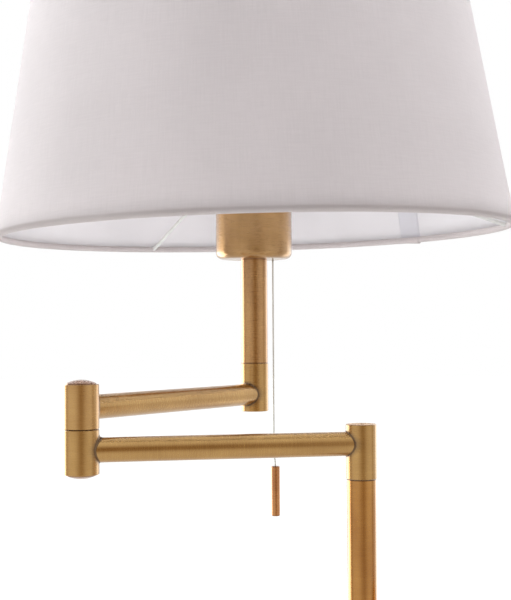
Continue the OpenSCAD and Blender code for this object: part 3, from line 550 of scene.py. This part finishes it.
# ---- Upper arm ----
# The elbow's upper barrel, the arm brazed into its side, and the knuckle at the arm's other end
# that the stem stands on.
stem_axis = middle("stem")
stem_at = Vector((stem_axis.x, stem_axis.y, 0))
upper_way = (stem_at - elbow_at).normalized()
upper_middle = middle("upper_arm")
upper_z = upper_middle.z
upper_barrel_axis = Vector((elbow_at.x, elbow_at.y, upper_z))
stem_low, stem_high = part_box("stem")
upper_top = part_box("elbow_upper_barrel")[1].z - upper_z
paint_on(brass("upper_barrel_brass", upper_barrel_axis, light=(198, 156, 92), deep=(176, 132, 74),
               seams=[seam_z - upper_z, upper_top]), "elbow_upper_barrel")
paint_on(brass("upper_cap_brass", upper_barrel_axis, light=cap_light, deep=cap_deep, line=cap_line,
               turned=0.0, seams=[upper_top], seam_w=cap_seam_w), "elbow_upper_cap")
paint_on(brass("upper_arm_brass", upper_middle, upper_way, rough=0.24), "upper_arm")
stem_end = Vector((stem_at.x, stem_at.y, upper_z))
paint_on(brass("stem_knuckle_brass", stem_end, seams=[stem_low.z - upper_z],
               marks=[(stem_end, upper_way, 0.003, arm_r)]), "stem_knuckle")
paint_on(brass("stem_brass", stem_axis, light=(190, 145, 87), deep=(167, 121, 69), seam_w=0.0012,
               seams=[stem_low.z - stem_axis.z, stem_high.z - stem_axis.z]), "stem")
paint_on(knuckle_brass, "stem_foot_plug", "stem_top_plug", "cup_nipple")
paint_on(plated, "stem_grub_screw")
paint_on(lead_sheath, "lead_in_upper_arm")

# ---- Brazed joints ----
# Each tube is brazed into the side of a knuckle or a barrel. The brazing metal leaves a thin fillet
# round the joint, with little lacquer on it. Its dark brown is partly the braze and partly painted
# shade for the corner where tube and hub meet.
knuckle_r = 0.0102
barrel_r = 0.0115
braze_and_corner_shade = brass("braze", lower_middle, lower_way, light=(124, 98, 70), deep=(96, 74, 52), rough=0.3,
                     coat=0.3)


def braze(name, axis, way, tube_z, hub_r, tube_r, width, crown):
    """The fillet of braze where a tube meets an upright hub: for each bearing round the tube, a
    concave curve from the hub's face to the tube's, and a root sunk under both. The curve is a
    parabola whose ends lie width away from the line where the two faces meet. crown widens it on top."""
    turn = np.linspace(0, 2 * np.pi, 96, endpoint=False)[:, None]
    reach = width + crown * np.clip(np.sin(turn), 0, 1) ** 2
    across, up = np.cos(turn), np.sin(turn)

    def on_hub(radius):
        return np.stack(np.broadcast_arrays(
            np.sqrt(hub_r**2 - (radius * across) ** 2), radius * across, radius * up), axis=-1)

    line = on_hub(tube_r)
    hub_end = on_hub(tube_r + np.minimum(reach, 0.95 * (hub_r - tube_r) + reach * np.abs(up)))
    tube_end = line + reach[..., None] * np.array((1.0, 0, 0))
    t = np.linspace(0, 1, 9)[None, :, None]
    curve = (1 - t) ** 2 * hub_end + 2 * t * (1 - t) * line + t**2 * tube_end
    root = line * (1, 0.93, 0.93) - np.array((0.0004, 0, 0))
    local = np.concatenate([curve, root], axis=1)
    forward = np.array(way)
    side = np.cross((0, 0, 1.0), forward)
    points = np.array((axis[0], axis[1], tube_z)) + local[..., :1] * forward \
        + local[..., 1:2] * side + local[..., 2:] * np.array((0, 0, 1.0))
    return skin(name, points)


wall_tube_z = middle("wall_tube").z
for name, body, axis, way, tube_z, hub_r, width, crown in (
        ("swing_end_braze", "lower_arm", post_at, lower_way, lower_z, knuckle_r, 0.0006, 0.0003),
        ("elbow_end_braze", "lower_arm", elbow_at, -lower_way, lower_z, barrel_r, 0.0008, 0.0016),
        ("upper_barrel_braze", "upper_arm", elbow_at, upper_way, upper_z, barrel_r, 0.0007, 0.0),
        ("stem_end_braze", "upper_arm", stem_at, -upper_way, upper_z, knuckle_r, 0.0007, 0.0003),
        ("wall_tube_braze", "wall_bracket", bracket_middle, (0, 1, 0), wall_tube_z, knuckle_r, 0.0011, 0.0)):
    piece = braze(name, axis, way, tube_z, hub_r, arm_r, width, crown)
    piece.data.materials.append(braze_and_corner_shade.owner)
    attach(piece, body)

# ---- Socket cup and switch ----
# A spun brass cup, with a turned bush in its floor for the pull cord. It hides the pull switch: a
# moulded body with a sprung plunger.
cup_axis = middle("socket_cup")
cup_brass = brass("cup_brass", cup_axis, light=(192, 151, 96), deep=(168, 128, 77))
paint_on(cup_brass, "socket_cup", "pull_bush")
bakelite = plastic("bakelite", (52, 48, 46), (34, 31, 30), 0.34)
paint_on(bakelite, "switch_body")
paint_on(plated, "return_spring", "switch_plunger")

# ---- Lampholder skirt ----
# A moulded sleeve that stands on the switch. It has a coarse thread outside for the ring nuts, and
# a ledge inside that the porcelain insulator stands on.
paint_on(plastic("porcelain", (240, 238, 232), (228, 225, 218), 0.22), "socket_insulator")
skirt_low, skirt_high = (corner.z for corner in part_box("lampholder_skirt"))
skirt_r, skirt_bore_r, ledge_r = 0.0198, 0.0165, 0.0150
skirt_chamfer = 0.0004
skirt_mouth = 0.001
ledge_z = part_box("socket_insulator")[0].z


def about_stem(name, section, stations, cut, cut_from=0.0):
    """A closed section of (radius, height) points turned about the stem's axis. cut gives how far
    each bearing and height is cut back, where the radius is larger than cut_from."""
    bearing = np.linspace(0, 2 * np.pi, stations, endpoint=False)[:, None]
    radius, height = (np.array(section, float).T[k][None, :] for k in range(2))
    radius = radius - cut(bearing, height) * (radius > cut_from)
    return skin(name, np.stack(np.broadcast_arrays(
        stem_at.x + radius * np.cos(bearing), stem_at.y + radius * np.sin(bearing), height), axis=-1))


def thread_cut(pitch, depth, start, finish, sharp):
    """A screw thread between two heights: depth times the half wave of the turn and the climb,
    raised to a power that squares its roots, and faded out over half a pitch at its ends."""
    def cut(bearing, height):
        wave = (0.5 + 0.5 * np.cos(2 * np.pi * height / pitch - bearing)) ** sharp
        fade = np.clip(np.minimum(height - start, finish - height) / (pitch / 2), 0, 1)
        return depth * wave * fade
    return cut


skirt_thread = thread_cut(pitch=0.003, depth=0.0009, start=skirt_low + 0.003,
                          finish=skirt_high - 0.0008, sharp=1.6)
climb = np.linspace(skirt_low + skirt_chamfer, skirt_high - skirt_chamfer, 200)
skirt_section = [
    (ledge_r, skirt_low), (skirt_r - skirt_chamfer, skirt_low), *[(skirt_r, z) for z in climb],
    (skirt_r - skirt_chamfer, skirt_high), (skirt_bore_r, skirt_high),
    (skirt_bore_r, skirt_high - skirt_mouth), (skirt_bore_r, ledge_z), (ledge_r, ledge_z)]
skirt = about_stem("threaded_skirt", skirt_section, 144, skirt_thread, skirt_r - skirt_chamfer / 2)
skirt.data.materials.append(bakelite.owner)
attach(skirt, "upper_arm")
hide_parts("lampholder_skirt")

# ---- Screw shell ----
# Thin brass sheet with the lamp's round thread rolled into it, and a foot that stands on the
# insulator, round the centre contact.
shell_low, shell_high = (corner.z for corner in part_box("screw_shell"))
shell_r, shell_t, foot_r = 0.01325, 0.0006, 0.01645
shell_brass = brass("shell_brass", middle("screw_shell"), light=(222, 184, 116), deep=(186, 144, 84))
paint_on(shell_brass, "centre_contact")
shell_thread = thread_cut(pitch=0.003629, depth=0.0010, start=shell_low + 0.0016,
                          finish=shell_high - 0.0008, sharp=1.0)
climb = np.linspace(shell_low + shell_t, shell_high, 120)
shell_section = [
    (foot_r, shell_low), (foot_r, shell_low + shell_t), *[(shell_r + shell_t, z) for z in climb],
    *[(shell_r, z) for z in climb[::-1]], (shell_r, shell_low)]
shell = about_stem("rolled_screw_shell", shell_section, 96, shell_thread)
shell.data.materials.append(shell_brass.owner)
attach(shell, "upper_arm")
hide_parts("screw_shell")

# ---- Ring nuts ----
# Two moulded nuts on the skirt's thread, alike, that clamp the shade's fitter ring between them.
# Rounded grips run round their chamfered rims.
nut_r, nut_bore_r, nut_chamfer, nut_face = 0.027, 0.01985, 0.001, 0.004
grips, grip_depth = 32, 0.0009


def grip_cut(bearing, height):
    """Rounded grips: grip_depth times the half wave of so many turns, raised to a power. They are
    the same at every height."""
    return grip_depth * (0.5 + 0.5 * np.cos(grips * bearing)) ** 2.5 + 0 * height


for name, node in (("lower_ribbed_nut", "lower_ring_nut"), ("upper_ribbed_nut", "upper_ring_nut")):
    low, high = (corner.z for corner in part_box(node))
    rim = np.linspace(low + nut_chamfer, high - nut_chamfer, 8)
    section = [
        (nut_bore_r, low), (nut_r - nut_face, low), (nut_r - nut_chamfer, low),
        *[(nut_r, z) for z in rim],
        (nut_r - nut_chamfer, high), (nut_r - nut_face, high), (nut_bore_r, high)]
    nut = about_stem(name, section, grips * 10, grip_cut, nut_r - 2 * nut_chamfer)
    nut.data.materials.append(bakelite.owner)
    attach(nut, "upper_arm")
    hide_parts(node)

# ---- Shade frame ----
# Enamelled steel wire: a fitter ring that the ring nuts clamp, three arms that run out from it,
# and the two hoops that the cover is rolled round.
enamel = plastic("white_wire", (214, 212, 209), (202, 200, 197), 0.42)
paint_on(enamel, "fitter_ring", "spider_arms", "bottom_ring", "top_ring")

# ---- Shade ----
# White cotton laminated to a stiff white liner, rolled round the two hoops at its edges and glued.
# The sheet's two ends lap by two centimetres, on the side towards the wall.
shade_bottom_r = 0.192
shade_top_r = 0.154
shade_h = 0.230
hem_r = 0.0023
cloth_t = 0.0008
liner_t = 0.0006
glue_gap = 0.0001
hem_wrap = math.radians(255)
lean = math.radians(1.2)
lap_at = math.radians(132.4)
lap_w = 0.020
lap_end = lap_at + lap_w / shade_bottom_r
lap_lift = 0.00025
puff_depth = 0.0013
puff_turn = 0.09
notch_half_w = 0.005
notch_turn = math.radians(70)
slack_depth = 0.00012
arc_points = 17
slope_points = 41
wires = [math.radians(209 + 120 * k) for k in range(3)]
fitter_middle = middle("fitter_ring")
ring_z = 0.3196
low_wire = np.array((shade_bottom_r - hem_r, ring_z))
high_wire = np.array((shade_top_r - hem_r, ring_z - hem_r + shade_h - hem_r))
slope = high_wire - low_wire
slope_l = np.linalg.norm(slope)
along_slope = slope / slope_l
out_of_slope = np.array((along_slope[1], -along_slope[0]))
slant = math.atan2(out_of_slope[1], out_of_slope[0])


def lean_over(points):
    """Turns points about the line through the middle of the fitter ring that the shade leans on."""
    pivot = np.array((stem_at.x, stem_at.y, fitter_middle.z))
    x, y, z = np.moveaxis(points - pivot, -1, 0)
    return pivot + np.stack([x, y * math.cos(lean) - z * math.sin(lean),
                             y * math.sin(lean) + z * math.cos(lean)], axis=-1)


def revolve(bearings, radius, height):
    """Points round the stem's axis: one bearing for each station, a radius and height for each point."""
    bearings = bearings[:, None]
    return np.stack(np.broadcast_arrays(stem_at.x + radius * np.cos(bearings),
                                        stem_at.y + radius * np.sin(bearings), height), axis=-1)


def bump_near(bearings, centre, half_width):
    """1 at a bearing, falling in a straight line to 0 at a half width on each side of it."""
    apart = np.abs((bearings - centre + np.pi) % (2 * np.pi) - np.pi)
    return np.clip(1 - apart / half_width, 0, 1)


bearings = np.sort(np.concatenate([
    np.linspace(0, 2 * np.pi, 480, endpoint=False),
    *[w % (2 * np.pi) + np.linspace(-0.03, 0.03, 13) for w in wires],
    *[end + np.array((-0.001, 0.001)) for end in (lap_at, lap_end)]]))
bearings = np.unique(np.round(bearings, 5))
notch = sum(bump_near(bearings, w, notch_half_w / shade_bottom_r) for w in wires)[:, None]
lap = ((bearings > lap_at) & (bearings < lap_end)).astype(float)[:, None]
slack = slack_depth * (np.sin(3 * bearings + 0.4) + 0.6 * np.sin(7 * bearings + 2.0))[:, None]

# The cover's section: down the outside, round the bottom hoop and up behind it, and back again
# inside by the cloth's thickness. The roll is cut back in a notch at each of the three arms, and
# puffs out a little where the lap starts.
flange = (hem_r - cloth_t - liner_t - 2 * glue_gap - hem_r * math.cos(hem_wrap)) / -math.sin(hem_wrap)
u = np.linspace(0, 1, arc_points)[None, :]
low_wrap = hem_wrap - notch * notch_turn
puff = puff_depth * lap * np.clip(1 - (bearings[:, None] - lap_at) / puff_turn, 0, 1)
low_flange = flange * (1 - notch)


def cover_face(r):
    """One face of the cover, a distance r from the hoop's middle: a straight flange, an arc round
    the top hoop, the straight slope, an arc round the bottom hoop and a straight flange."""
    high_turn = slant + hem_wrap * (1 - u)
    low_turn = slant - low_wrap * u
    high_arc = [high_wire[0] + r * np.cos(high_turn) + 0 * notch,
                high_wire[1] + r * np.sin(high_turn) + 0 * notch]
    low_r = r + puff * np.sin(np.pi * u) ** 2
    low_arc = [low_wire[0] + low_r * np.cos(low_turn), low_wire[1] + low_r * np.sin(low_turn)]
    s = np.linspace(0, 1, slope_points)[None, 1:-1]
    tip_turn = slant + hem_wrap
    end_turn = slant - low_wrap
    face = []
    for k in range(2):
        top, foot = high_arc[k][:, -1:], low_arc[k][:, :1]
        tip = high_arc[k][:, :1] + flange * (-math.sin(tip_turn), math.cos(tip_turn))[k]
        end = low_arc[k][:, -1:] + low_flange * (np.sin(end_turn), -np.cos(end_turn))[k]
        face.append(np.hstack([tip, high_arc[k], top + (foot - top) * s, low_arc[k], end]))
    return face


outer, inner = cover_face(hem_r), cover_face(hem_r - cloth_t)
raised = np.zeros(outer[0].shape[1])
raised[arc_points:-arc_points] = 1
section = [np.hstack([outer[k], inner[k][:, ::-1]]) for k in range(2)]
reach = np.hstack([(slack + lap_lift * lap) * raised, slack * raised[::-1]])
cover_points = lean_over(revolve(bearings, section[0] + reach, section[1]))
# The flat layout: round the shade, and along the section from the top edge
step = np.hypot(np.diff(outer[0][0]), np.diff(outer[1][0]))
down = np.r_[0, np.cumsum(step)]
down = np.r_[down, down[::-1], down[0]]
mean_r = (shade_bottom_r + shade_top_r) / 2
round_it = np.r_[bearings, 2 * np.pi + bearings[0]] * mean_r
cover = skin("cotton_cover", cover_points,
             flat=np.stack(np.broadcast_arrays(round_it[:, None], down[None, :]), axis=-1))

# The liner's section: up its outer face, from hoop to hoop, and down its inner face. At the lap it
# is twice as thick.
liner_low, liner_high = hem_r, slope_l - hem_r
liner_out = hem_r - cloth_t - glue_gap
liner_points = 24
rise = np.linspace(liner_low, liner_high, liner_points)
climb = np.r_[rise, np.linspace(liner_high, liner_low, liner_points)][None, :]
face = np.repeat((liner_out, liner_out - liner_t), liner_points)[None, :]
lap_in = np.repeat((0.0, liner_t), liner_points)[None, :] * lap
liner_r = low_wire[0] + climb * along_slope[0] + face * out_of_slope[0] + slack - lap_in
liner_h = low_wire[1] + climb * along_slope[1] + face * out_of_slope[1] + 0 * slack
liner_down = np.r_[climb[0], climb[0, :1]]
liner = skin("shade_lining", lean_over(revolve(bearings, liner_r, liner_h)),
             flat=np.stack(np.broadcast_arrays(round_it[:, None], liner_down[None, :]), axis=-1))


hem_shade_grey = (196, 192, 190)
lap_shade_grey = (206, 202, 212)


def woven(name, light, deep, thread, through, length, rolled_w, inside_w):
    """Plain-woven cotton: threads over and under each other along the flat layout, some thicker
    than others, that let part of the light through. length is the cloth's length along the section.
    The strip of it at each end that is rolled round a hoop, rolled_w wide, has no liner behind it and
    lets more through. That strip is painted grey, as painted shade for the darker band along the hem,
    but for its last inside_w, which is inside the shade."""
    finish = SurfaceFinish(bpy.data.materials.new(name))
    flat = finish.cloth_place(1.0)
    across, down = finish.axis(flat, "X"), finish.axis(flat, "Y")
    warp = (across * (math.pi / thread)).sine()
    weft = (down * (math.pi / thread)).sine()
    over = warp * weft * 0.5 + 0.5
    slub, slub_up = (
        finish.noise(finish.node("ShaderNodeCombineXYZ", None, {0: across * wide, 1: down * high}), 2.0, 0.6)
        for wide, high in ((60, 900), (1100, 50)))
    cloudy = finish.noise(finish.place(scale=(0.09, 0.09, 0.09)), 2.0, 0.5)
    tone = slub * 0.3 + slub_up * 0.3 + cloudy * 0.25 + over * 0.15
    colour = finish.mix(finish.ramp(tone, 0.3, 0.7), paint(*deep), paint(*light))
    from_edge = down.at_most(length - down)
    rolled = finish.ramp(from_edge, rolled_w, rolled_w + 0.0015, 1.0, 0.0)
    # The rolled strip is painted grey: painted shade for the darker hem band.
    hem_shade = rolled * finish.ramp(from_edge, inside_w - 0.0012, inside_w + 0.0012)
    colour = finish.mix(hem_shade * 0.3, colour, paint(*hem_shade_grey))
    through = (1.0 + rolled * 0.3) * through
    normal = finish.bump(over * 0.5 + slub * 0.5 + slub_up * 0.5, 0.00006)
    body = finish.principled(Base_Color=colour, Roughness=0.9, Normal=normal, Sheen_Weight=0.15)
    glow = finish.node("ShaderNodeBsdfTranslucent", None, {"Color": colour})
    finish.done(finish.node("ShaderNodeMixShader", None, {0: through, 1: body, 2: glow}))
    return finish


def lining_finish(name, light, deep, through, lap_middle, lap_half):
    """Thin white styrene: smooth, faintly mottled, and lit through by what falls on its far face.
    Less comes through where its ends lap, and there it is painted a violet grey, as painted shade."""
    finish = SurfaceFinish(bpy.data.materials.new(name))
    mottle = finish.noise(finish.place(scale=(0.05, 0.05, 0.05)), 2.0, 0.5)
    colour = finish.mix(finish.ramp(mottle, 0.3, 0.7), paint(*deep), paint(*light))
    across = finish.axis(finish.cloth_place(1.0), "X")
    double = finish.ramp(abs(across - lap_middle), lap_half, lap_half + 0.0006, 1.0, 0.0)
    # Where the ends lap, the colour is painted greyer, as the shade of the doubled liner.
    colour = finish.mix(double * 0.3, colour, paint(*lap_shade_grey))
    through = (1.0 - double * 0.3) * through
    body = finish.principled(Base_Color=colour, Roughness=0.55)
    glow = finish.node("ShaderNodeBsdfTranslucent", None, {"Color": colour})
    finish.done(finish.node("ShaderNodeMixShader", None, {0: through, 1: body, 2: glow}))
    return finish


cotton = woven("shade_cloth", (238, 233, 233), (230, 225, 225), thread=0.00045, through=0.61,
               length=float(down.max()), rolled_w=flange + hem_r * hem_wrap + 0.0005,
               inside_w=flange + hem_r * (hem_wrap - math.radians(140)))
cover.data.materials.append(cotton.owner)
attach(cover, "upper_arm")
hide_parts("shade_cloth")

lap_half = lap_w / shade_bottom_r * mean_r / 2
lining = lining_finish("shade_liner", (244, 244, 245), (240, 240, 241), through=0.8,
                       lap_middle=lap_at * mean_r + lap_half, lap_half=lap_half)
liner.data.materials.append(lining.owner)
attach(liner, "upper_arm")
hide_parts("shade_liner")
